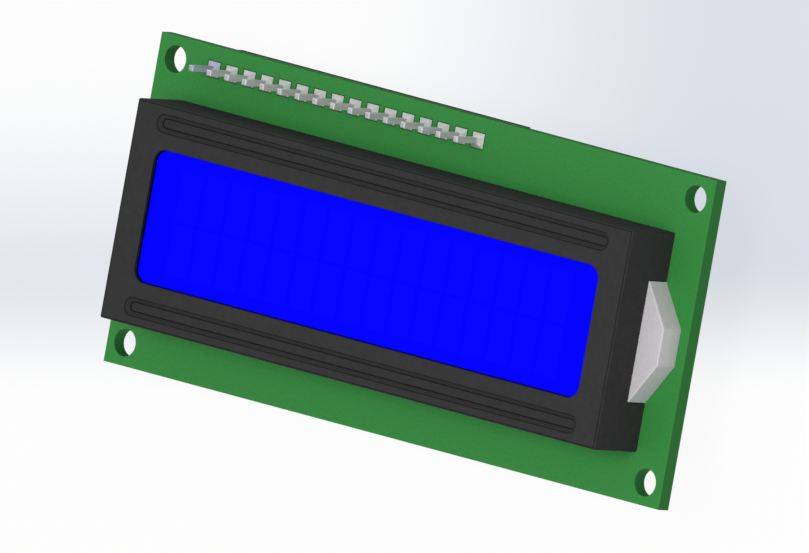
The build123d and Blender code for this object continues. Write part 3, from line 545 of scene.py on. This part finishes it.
# Everything else in its plain finish, one dictionary for each
plainFinishes = {
    "cellGlass": {
        "nodes": ["front_glass", "rear_glass"],
        "colour": (0.75, 0.82, 0.8), "grain": 900.0, "contrast": 0.02, "patches": 60.0,
        "gloss": (0.02, 0.06), "relief": 0.0000005,
        "shader": {"Transmission Weight": 0.9, "IOR": 1.5},
    },
    "whiteFilm": {
        "nodes": ["diffuser_sheet", "reflector_sheet"],
        "colour": (0.86, 0.86, 0.84), "grain": 3000.0, "contrast": 0.02, "patches": 80.0,
        "gloss": (0.5, 0.6), "relief": 0.000002, "shader": {},
    },
    "milkyAcrylic": {
        "nodes": ["light_guide"],
        "colour": (0.57, 0.55, 0.567), "grain": 1800.0, "contrast": 0.03, "patches": 150.0,
        "gloss": (0.3, 0.42), "relief": 0.000003, "shader": {"Specular IOR Level": 0.3},
    },
    "zebraRubber": {
        "nodes": ["zebra_strip_upper", "zebra_strip_lower"],
        "colour": (0.08, 0.08, 0.085), "grain": 4000.0, "contrast": 0.1, "patches": 200.0,
        "gloss": (0.6, 0.7), "relief": 0.000004, "shader": {},
        "layers": (0.42, 0.40, 0.38), "layerPitch": 0.18 * mm, "layerSpan": (0.4, 0.6),
    },
    "lampWhite": {
        "nodes": ["backlight_led"],
        "colour": (0.85, 0.85, 0.8), "grain": 3000.0, "contrast": 0.03, "patches": 300.0,
        "gloss": (0.35, 0.45), "relief": 0.000002, "shader": {},
    },
    "blackResin": {
        "nodes": ["controller_blob", "driver_blob"],
        "colour": (0.012, 0.012, 0.013), "grain": 500.0, "contrast": 0.2, "patches": 160.0,
        "gloss": (0.16, 0.34), "relief": 0.00002, "shader": {},
    },
    "resistorBody": {
        "nodes": ["display_resistors", "adapter_resistors"],
        "colour": (0.02, 0.02, 0.022), "grain": 5000.0, "contrast": 0.2, "patches": 500.0,
        "gloss": (0.3, 0.45), "relief": 0.000004, "shader": {},
    },
    "capacitorBody": {
        "nodes": ["adapter_capacitors"],
        "colour": (0.45, 0.3, 0.17), "grain": 5000.0, "contrast": 0.12, "patches": 500.0,
        "gloss": (0.4, 0.55), "relief": 0.000004, "shader": {},
    },
    "headerPlastic": {
        "nodes": ["header_spacer", "signal_header_block", "jumper_header_block"],
        "colour": (0.015, 0.015, 0.016), "grain": 5000.0, "contrast": 0.15, "patches": 250.0,
        "gloss": (0.4, 0.55), "relief": 0.000006, "shader": {},
        "rub": (0.045, 0.045, 0.047), "rubWidth": 0.12 * mm,
    },
    "capPlastic": {
        "nodes": ["jumper_cap"],
        "colour": (0.015, 0.015, 0.018), "grain": 5000.0, "contrast": 0.12, "patches": 250.0,
        "gloss": (0.3, 0.42), "relief": 0.000004, "shader": {},
        "rub": (0.05, 0.05, 0.054), "rubWidth": 0.12 * mm,
    },
    "chipPlastic": {
        "nodes": ["expander_chip", "backlight_transistor"],
        "colour": (0.02, 0.02, 0.022), "grain": 6000.0, "contrast": 0.15, "patches": 220.0,
        "gloss": (0.5, 0.65), "relief": 0.00001, "shader": {},
        "rub": (0.055, 0.055, 0.058), "rubWidth": 0.1 * mm,
    },
    "trimmerBlue": {
        "nodes": ["trimmer_body"],
        "colour": (0.02, 0.1, 0.45), "grain": 4000.0, "contrast": 0.06, "patches": 250.0,
        "gloss": (0.3, 0.42), "relief": 0.000005, "shader": {},
        "rub": (0.07, 0.19, 0.55), "rubWidth": 0.14 * mm,
    },
    "rotorIvory": {
        "nodes": ["trimmer_rotor"],
        "colour": (0.75, 0.72, 0.62), "grain": 4000.0, "contrast": 0.05, "patches": 400.0,
        "gloss": (0.4, 0.5), "relief": 0.000004, "shader": {},
    },
    "lampRed": {
        "nodes": ["power_led"],
        "colour": (0.6, 0.06, 0.04), "grain": 4000.0, "contrast": 0.05, "patches": 400.0,
        "gloss": (0.15, 0.25), "relief": 0.000002, "shader": {},
    },
    "solder": {
        "nodes": ["front_joints", "rear_joints", "adapter_joints", "backlight_joints", "chip_terminals"],
        "colour": (0.58, 0.58, 0.58), "grain": 1800.0, "contrast": 0.12, "patches": 600.0,
        "gloss": (0.34, 0.5), "relief": 0.00001, "shader": {"Metallic": 0.3},
    },
    "springBronze": {
        "nodes": ["jumper_clip"],
        "colour": (0.55, 0.36, 0.14), "grain": 3000.0, "contrast": 0.1, "patches": 400.0,
        "gloss": (0.25, 0.4), "relief": 0.000003, "shader": {"Metallic": 1.0},
    },
}
for name, look in plainFinishes.items():
    # a piece with rubbed edges has a material of its own, fitted to its box
    for members in ([[node] for node in look["nodes"]] if "rub" in look else [look["nodes"]]):
        material, tree, surface, tinted = finish(name, look)
        if "rub" in look:
            addRub(tree, surface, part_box(members[0]), tinted, look["rub"], look["rubWidth"])
        if "layers" in look:   # dark and pale layers, side by side along the strip
            bands = waveBands(tree, (-900, 600), "X", look["layerPitch"], {})
            pale = remap(tree, bands, (-600, 600), *look["layerSpan"], 0.0, 1.0)
            layered = mixColours(tree, (-100, 500), pale, tinted, look["layers"])
            tree.links.new(layered, surface.inputs["Base Color"])
        dress(members, material)
print("plain finishes:", len(plainFinishes))

# Tinned pins and leads, drawn along their length, with duller cut ends; the first has a lavender cast
tinnedPins = {
    "upright": [f"header_pin_{i:02d}" for i in range(2, 17)] + ["trimmer_pins", "backlight_leads"],
    "level": [f"signal_pin_{i}" for i in range(1, 5)] + ["jumper_pin_1", "jumper_pin_2", "expander_leads"],
    "first": ["header_pin_01", "first_front_joint"],
    "colour": (0.62, 0.60, 0.62), "firstColour": (0.46, 0.465, 0.60),
    "endTone": (0.70, 0.71, 0.70), "endAbove": 0.95,   # the cosine that tells a cut end from a chamfer
    "contrast": 0.08, "patches": 500.0, "gloss": (0.34, 0.46), "relief": 0.000002,
    "shader": {"Metallic": 0.2},
}
for name, members, colour, axis in (
    ("tinUpright", tinnedPins["upright"], tinnedPins["colour"], (0.0, 0.0, 1.0)),
    ("tinLevel", tinnedPins["level"], tinnedPins["colour"], (1.0, 0.0, 0.0)),
    ("tinFirst", tinnedPins["first"], tinnedPins["firstColour"], (0.0, 0.0, 1.0)),
):
    material, tree, surface = startMaterial(name, colour, tinnedPins["shader"])
    lines = useGroup(tree, drawnLines, (-900, 200), {"Axis": axis, "Contrast": tinnedPins["contrast"]})
    tinted = mixColours(tree, (-300, 200), 1.0, colour, lines["Tint"], "MULTIPLY")
    dulled = mixColours(tree, (-200, 400), 1.0, tinted, tinnedPins["endTone"], "MULTIPLY")
    along = vectorNode(tree, "DOT_PRODUCT", (-700, 500), trueNormal(tree, (-900, 500)), axis)
    cutEnd = mathNode(tree, "GREATER_THAN", (-400, 500), mathNode(tree, "ABSOLUTE", (-550, 500), along),
                      tinnedPins["endAbove"])
    tree.links.new(mixColours(tree, (-100, 300), cutEnd, tinted, dulled), surface.inputs["Base Color"])
    addGloss(tree, surface, tinnedPins["patches"], tinnedPins["gloss"])
    addBump(tree, surface.inputs["Normal"], lines["Height"], tinnedPins["relief"])
    dress(members, material)
print("pins dressed")

# Ink, pads, vias and the chip's mark, on the two boards' backs. A piece is started from a flat
# primitive, shaped in edit mode, and finished with its place in its mesh.
boardBack, adapterBack, chipBack = (
    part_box(name)[0].z for name in ("display_board", "adapter_board", "expander_chip"))
partsRow = 6.61   # the line, in mm, along which the parts on the adapter's back lie
backDetails = {
    "sides": 32, "inkWidth": 0.16 * mm, "inkHeight": 0.02 * mm, "inkColour": (0.80, 0.81, 0.80),
    "padHeight": 0.04 * mm, "padEdge": 0.14 * mm, "padCrown": 0.05 * mm, "padRound": 0.02 * mm,
    "roundSteps": 2, "mergeUnder": 0.001 * mm,
    "viaSize": 0.75, "viaRim": 0.21 * mm, "viaHeight": 0.03 * mm, "viaDip": 0.024 * mm,
    # places and sizes from here on are in mm; each line or pad is its kind, its middle and its size
    "displayInk": [("round", (17.5, -6.5), (13.9, 0)), ("round", (-12.0, -6.5), (11.9, 0)),
                   ("square", (36.9, -0.6), (2.6, 4.9))]
                  + [("square", (10.9 + 2.7 * i, partsRow), (1.9, 2.7)) for i in range(5)],
    "adapterInk": [("square", (-22.0, partsRow), (7.4, 7.8)), ("square", (-22.0, 12.26), (3.5, 2.9)),
                   ("square", (6.22, partsRow), (3.2, 10.5)), ("square", (-31.3, partsRow), (3.3, 5.5)),
                   ("square", (5.2, 12.89), (2.6, 1.8)), ("round", (-11.9, -0.1), (0.4, 0))],
    "displayPads": [("square", (29.2, 15.9), (1.3, 1.0)), ("square", (31.3, 15.9), (1.3, 1.0)),
                    ("round", (-37.2, 10.6), (1.5, 0)), ("round", (-33.6, -4.2), (1.3, 0))],
    "adapterPads": [("square", (-9.9 + 2.54 * i, y), (1.1, 0.75))
                    for i in range(3) for y in (-0.62, 0.42)],
    # each row of vias is its first one's middle, the step to the next, and how many there are
    "displayVias": [((-5.4, -12.3), (1.55, 0), 10), ((-29.6, -1.9), (1.5, 0), 9),
                    ((24.6, -10.95), (1.3, 0), 7), ((25.4, 8.1), (0, 1.2), 4),
                    ((34.2, -9.6), (0, 1.4), 5), ((11.0, 14.2), (2.54, 0), 5)],
    "adapterVias": [((-1.2, 0.3), (1.5, 0), 4), ((-25.0, 4.3), (0, 1.5), 4),
                    ((-16.0, 10.2), (0, 1.5), 2), ((-16.0, 1.9), (0, -1.5), 2)],
    "chipMark": (-12.2, 4.1), "chipMarkSize": 0.9, "markColour": (0.30, 0.30, 0.29),
}


def startFlat(kind, centre, size, face):
    # leaves the outline in edit mode, selected
    bpy.ops.object.select_all(action="DESELECT")
    place = (centre[0] * mm, centre[1] * mm, face)
    if kind == "round":
        bpy.ops.mesh.primitive_circle_add(vertices=backDetails["sides"], radius=size[0] / 2 * mm,
                                          fill_type="NGON", location=place)
    else:
        bpy.ops.mesh.primitive_plane_add(size=mm, location=place)
    bpy.ops.object.mode_set(mode="EDIT")
    bpy.ops.mesh.select_all(action="SELECT")
    if kind != "round":
        bpy.ops.transform.resize(value=(size[0], size[1], 1.0))
    bpy.ops.mesh.flip_normals()   # the boards' backs look down
    return bpy.context.active_object


def raiseFace(height, inset=0.0):
    bpy.ops.mesh.extrude_region_move(TRANSFORM_OT_translate={"value": (0.0, 0.0, -height)})
    if inset:
        bpy.ops.mesh.inset(thickness=inset)


def endPiece(pieces, name, material, width=0.0):
    # joins the parts of one piece, bevels them if a width is given, and puts its place in its mesh
    bpy.ops.object.select_all(action="DESELECT")
    for piece in pieces:
        piece.select_set(True)
    bpy.context.view_layer.objects.active = pieces[0]
    if len(pieces) > 1:
        bpy.ops.object.join()
    bpy.ops.object.transform_apply(location=True, rotation=True, scale=True)
    piece = bpy.context.active_object
    piece.name = piece.data.name = name
    if width:
        bevel = piece.modifiers.new("edges", "BEVEL")
        bevel.width, bevel.segments = width, backDetails["roundSteps"]
        bpy.ops.object.modifier_apply(modifier="edges")
        bpy.ops.object.mode_set(mode="EDIT")
        bpy.ops.mesh.select_all(action="SELECT")
        bpy.ops.mesh.remove_doubles(threshold=backDetails["mergeUnder"])
        bpy.ops.object.mode_set(mode="OBJECT")
    piece.data.materials.clear()
    piece.data.materials.append(material)
    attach(piece, "module")


def inkLine(kind, centre, size, face):
    line = startFlat(kind, centre, size, face)
    bpy.ops.mesh.inset(thickness=backDetails["inkWidth"])
    bpy.ops.mesh.delete(type="FACE")   # the middle, which inset leaves selected
    bpy.ops.mesh.select_all(action="SELECT")
    raiseFace(backDetails["inkHeight"])
    bpy.ops.object.mode_set(mode="OBJECT")
    return line


def tinPad(kind, centre, size, face):
    pad = startFlat(kind, centre, size, face)
    raiseFace(backDetails["padHeight"], backDetails["padEdge"])
    bpy.ops.transform.translate(value=(0.0, 0.0, -backDetails["padCrown"]))
    bpy.ops.object.mode_set(mode="OBJECT")
    return pad


def viaRows(rows, face):
    # one via is modelled, with its middle dipped, and the rest are copies of it
    centres = [(start[0] + step[0] * i, start[1] + step[1] * i)
               for start, step, count in rows for i in range(count)]
    vias = [startFlat("round", centres[0], (backDetails["viaSize"],), face)]
    raiseFace(backDetails["viaHeight"], backDetails["viaRim"])
    bpy.ops.transform.translate(value=(0.0, 0.0, backDetails["viaDip"]))
    bpy.ops.object.mode_set(mode="OBJECT")
    for centre in centres[1:]:
        other = vias[0].copy()
        other.data = vias[0].data.copy()
        other.location = (centre[0] * mm, centre[1] * mm, face)
        scene.collection.objects.link(other)
        vias.append(other)
    return vias


inkLook = {
    "colour": backDetails["inkColour"], "grain": 5000.0, "contrast": 0.08, "patches": 300.0,
    "gloss": (0.5, 0.65), "relief": 0.000003, "shader": {},
}
whiteInk = finish("whiteInk", inkLook)[0]
for name, face in (("displayInk", boardBack), ("adapterInk", adapterBack)):
    endPiece([inkLine(*row, face) for row in backDetails[name]], name, whiteInk)
for name, face in (("displayPads", boardBack), ("adapterPads", adapterBack)):
    endPiece([tinPad(*row, face) for row in backDetails[name]], name,
             bpy.data.materials["solder"], backDetails["padRound"])
for name, face, lacquer, slot in (("displayVias", boardBack, "greenLacquer", "green_board"),
                                  ("adapterVias", adapterBack, "blackLacquer", "black_board")):
    look = dict(boards[lacquer], colour=boards[lacquer]["copper"])
    coated = finish(name + "Lacquer", look)[0]
    endPiece(viaRows(backDetails[name], face), name, coated)

markLook = dict(inkLook, colour=backDetails["markColour"])
dot = startFlat("round", backDetails["chipMark"], (backDetails["chipMarkSize"],), chipBack)
raiseFace(backDetails["inkHeight"], backDetails["inkHeight"])
bpy.ops.object.mode_set(mode="OBJECT")
endPiece([dot], "chipMark", finish("markInk", markLook)[0])
print("back details made")

# Camera: a parallel view of the front, from the side of the backlight's nose, with the pin header at
# the picture's top. From its directions the board's three edges run and foreshorten as in the photo.
camera = {
    "right": (0.74269, 0.17427, -0.64656), "up": (-0.19975, 0.97924, 0.03450),
    "towards": (0.63915, 0.10353, 0.76208), "offset": (-0.620 * mm, -0.617 * mm),
    "distance": 0.5, "clip": (0.01, 10.0), "width": 86.6206 * mm,
}
right, up, towards = (Vector(camera[k]).normalized() for k in ("right", "up", "towards"))
middle = right * camera["offset"][0] + up * camera["offset"][1]
cameraData = bpy.data.cameras.new("photoCamera")
cameraData.type = "ORTHO"
cameraData.ortho_scale = camera["width"]
cameraData.clip_start, cameraData.clip_end = camera["clip"]
photoCamera = bpy.data.objects.new("photoCamera", cameraData)
scene.collection.objects.link(photoCamera)
turned = Matrix((right, up, towards)).transposed().to_4x4()
photoCamera.matrix_world = Matrix.Translation(middle + towards * camera["distance"]) @ turned
scene.camera = photoCamera


def seenDirectly(tree, rays, place):
    # one for what the camera sees, also in metal and through glass
    either = mathNode(tree, "MAXIMUM", place, rays["Is Glossy Ray"], rays["Is Transmission Ray"])
    return mathNode(tree, "MAXIMUM", (place[0] + 150, place[1] + 150), rays["Is Camera Ray"], either)


def mixShaders(tree, place, amount, first, second):
    mix = addNode(tree, "ShaderNodeMixShader", place, values={0: amount, 1: first, 2: second})
    return mix.outputs["Shader"]


# Floor: pale, with the soft grey-blue band of the studio behind the display
floorLook = {
    "size": 6.0, "drop": 0.2 * mm, "white": (1.05, 1.05, 1.05), "band": (0.71, 0.74, 0.83),
    "albedo": (0.5, 0.5, 0.5), "shadow": 0.12,
    "bandRise": (-14.0 * mm, 2.0 * mm), "topFade": (-12.0 * mm, 25.0 * mm),
    "leftFade": (-10.0 * mm, 34.0 * mm), "leftFadeLeast": 0.12,
}
floorHeight = cadBox[0].z - floorLook["drop"]
bpy.ops.object.select_all(action="DESELECT")
bpy.ops.mesh.primitive_plane_add(size=floorLook["size"], location=(0, 0, floorHeight))
bpy.ops.object.transform_apply(location=True)
floor = bpy.context.active_object
floor.name = "floor"
material = bpy.data.materials.new("floorPaper")
material.use_nodes = True
tree = material.node_tree
tree.nodes.clear()
place = objectPlace(tree, (-1500, 0))
# distances on the floor along the picture's two directions
upwards, sideways = (vectorNode(tree, "DOT_PRODUCT", (-1300, height), place, tuple(direction))
                     for direction, height in ((up, 200), (right, -200)))
rise = remap(tree, upwards, (-1000, 300), *floorLook["bandRise"], 0.0, 1.0)
topFade = remap(tree, upwards, (-1000, 0), *floorLook["topFade"], 0.0, 1.0)
leftFade = remap(tree, sideways, (-1000, -300), *floorLook["leftFade"], 1.0, floorLook["leftFadeLeast"])
fade = mathNode(tree, "MULTIPLY", (-700, -100), topFade, leftFade)
band = mathNode(tree, "MULTIPLY", (-500, 100), rise, mathNode(tree, "SUBTRACT", (-600, -250), 1.0, fade))
paper = mixColours(tree, (-300, 100), band, floorLook["white"], floorLook["band"])
glow = addNode(tree, "ShaderNodeEmission", (0, 200), values={"Color": paper})
matt = addNode(tree, "ShaderNodeBsdfDiffuse", (0, 0), values={"Color": (*floorLook["albedo"], 1.0)})
rays = addNode(tree, "ShaderNodeLightPath", (-500, 600)).outputs
lit = mathNode(tree, "MULTIPLY", (-100, 600), seenDirectly(tree, rays, (-400, 450)),
               1.0 - floorLook["shadow"])
top = mixShaders(tree, (250, 100), lit, matt.outputs["BSDF"], glow.outputs["Emission"])
# the floor is clear from below, and to the lamp under it
clear = addNode(tree, "ShaderNodeBsdfTransparent", (250, -100))
below = addNode(tree, "ShaderNodeNewGeometry", (50, 400)).outputs["Backfacing"]
through = mathNode(tree, "MAXIMUM", (250, 400), below, rays["Is Shadow Ray"])
sides = mixShaders(tree, (450, 0), through, top, clear.outputs["BSDF"])
output = addNode(tree, "ShaderNodeOutputMaterial", (650, 0))
tree.links.new(sides, output.inputs["Surface"])
floor.data.materials.append(material)

# Studio light: a broad lamp over the front, weak ones from the right and the upper left, one under
# the table for the back, and an even sky. A lamp's level is about how bright it alone makes a white
# sheet that faces it.
studio = {
    "lamps": {
        "key": {"direction": (0.30, 0.07, 0.95), "level": 0.59, "size": 0.45},
        "side": {"direction": (0.93, -0.30, 0.22), "level": 0.08, "size": 0.5},
        "rim": {"direction": (-0.64, 0.70, 0.31), "level": 0.03, "size": 0.5},
        "under": {"direction": (-0.25, -0.35, -0.90), "level": 0.75, "size": 0.8},
    },
    "distance": 0.9, "sky": 0.53, "skyColour": (1.0, 1.0, 1.0), "backdrop": (0.93, 0.94, 0.97),
}
for name, lamp in studio["lamps"].items():
    direction = Vector(lamp["direction"]).normalized()
    data = bpy.data.lights.new(name + "Lamp", "AREA")
    data.shape, data.size = "DISK", lamp["size"]
    data.energy = lamp["level"] * math.pi**2 * studio["distance"] ** 2
    lampObject = bpy.data.objects.new(name + "Lamp", data)
    scene.collection.objects.link(lampObject)
    lampObject.location = direction * studio["distance"]
    lampObject.rotation_mode = "QUATERNION"
    lampObject.rotation_quaternion = direction.to_track_quat("Z", "Y")

world = bpy.data.worlds.new("studioWorld")
scene.world = world
world.use_nodes = True
tree = world.node_tree
tree.nodes.clear()
rays = addNode(tree, "ShaderNodeLightPath", (-600, 200)).outputs
sky = addNode(tree, "ShaderNodeBackground", (-100, 100),
              values={"Color": (*studio["skyColour"], 1.0), "Strength": studio["sky"]})
backdrop = addNode(tree, "ShaderNodeBackground", (-100, -100),
                   values={"Color": (*studio["backdrop"], 1.0)})
either = mixShaders(tree, (150, 0), seenDirectly(tree, rays, (-450, 50)),
                    sky.outputs["Background"], backdrop.outputs["Background"])
output = addNode(tree, "ShaderNodeOutputWorld", (350, 0))
tree.links.new(either, output.inputs["Surface"])
scene.view_settings.view_transform = "Standard"
print("camera, floor and lights in place")
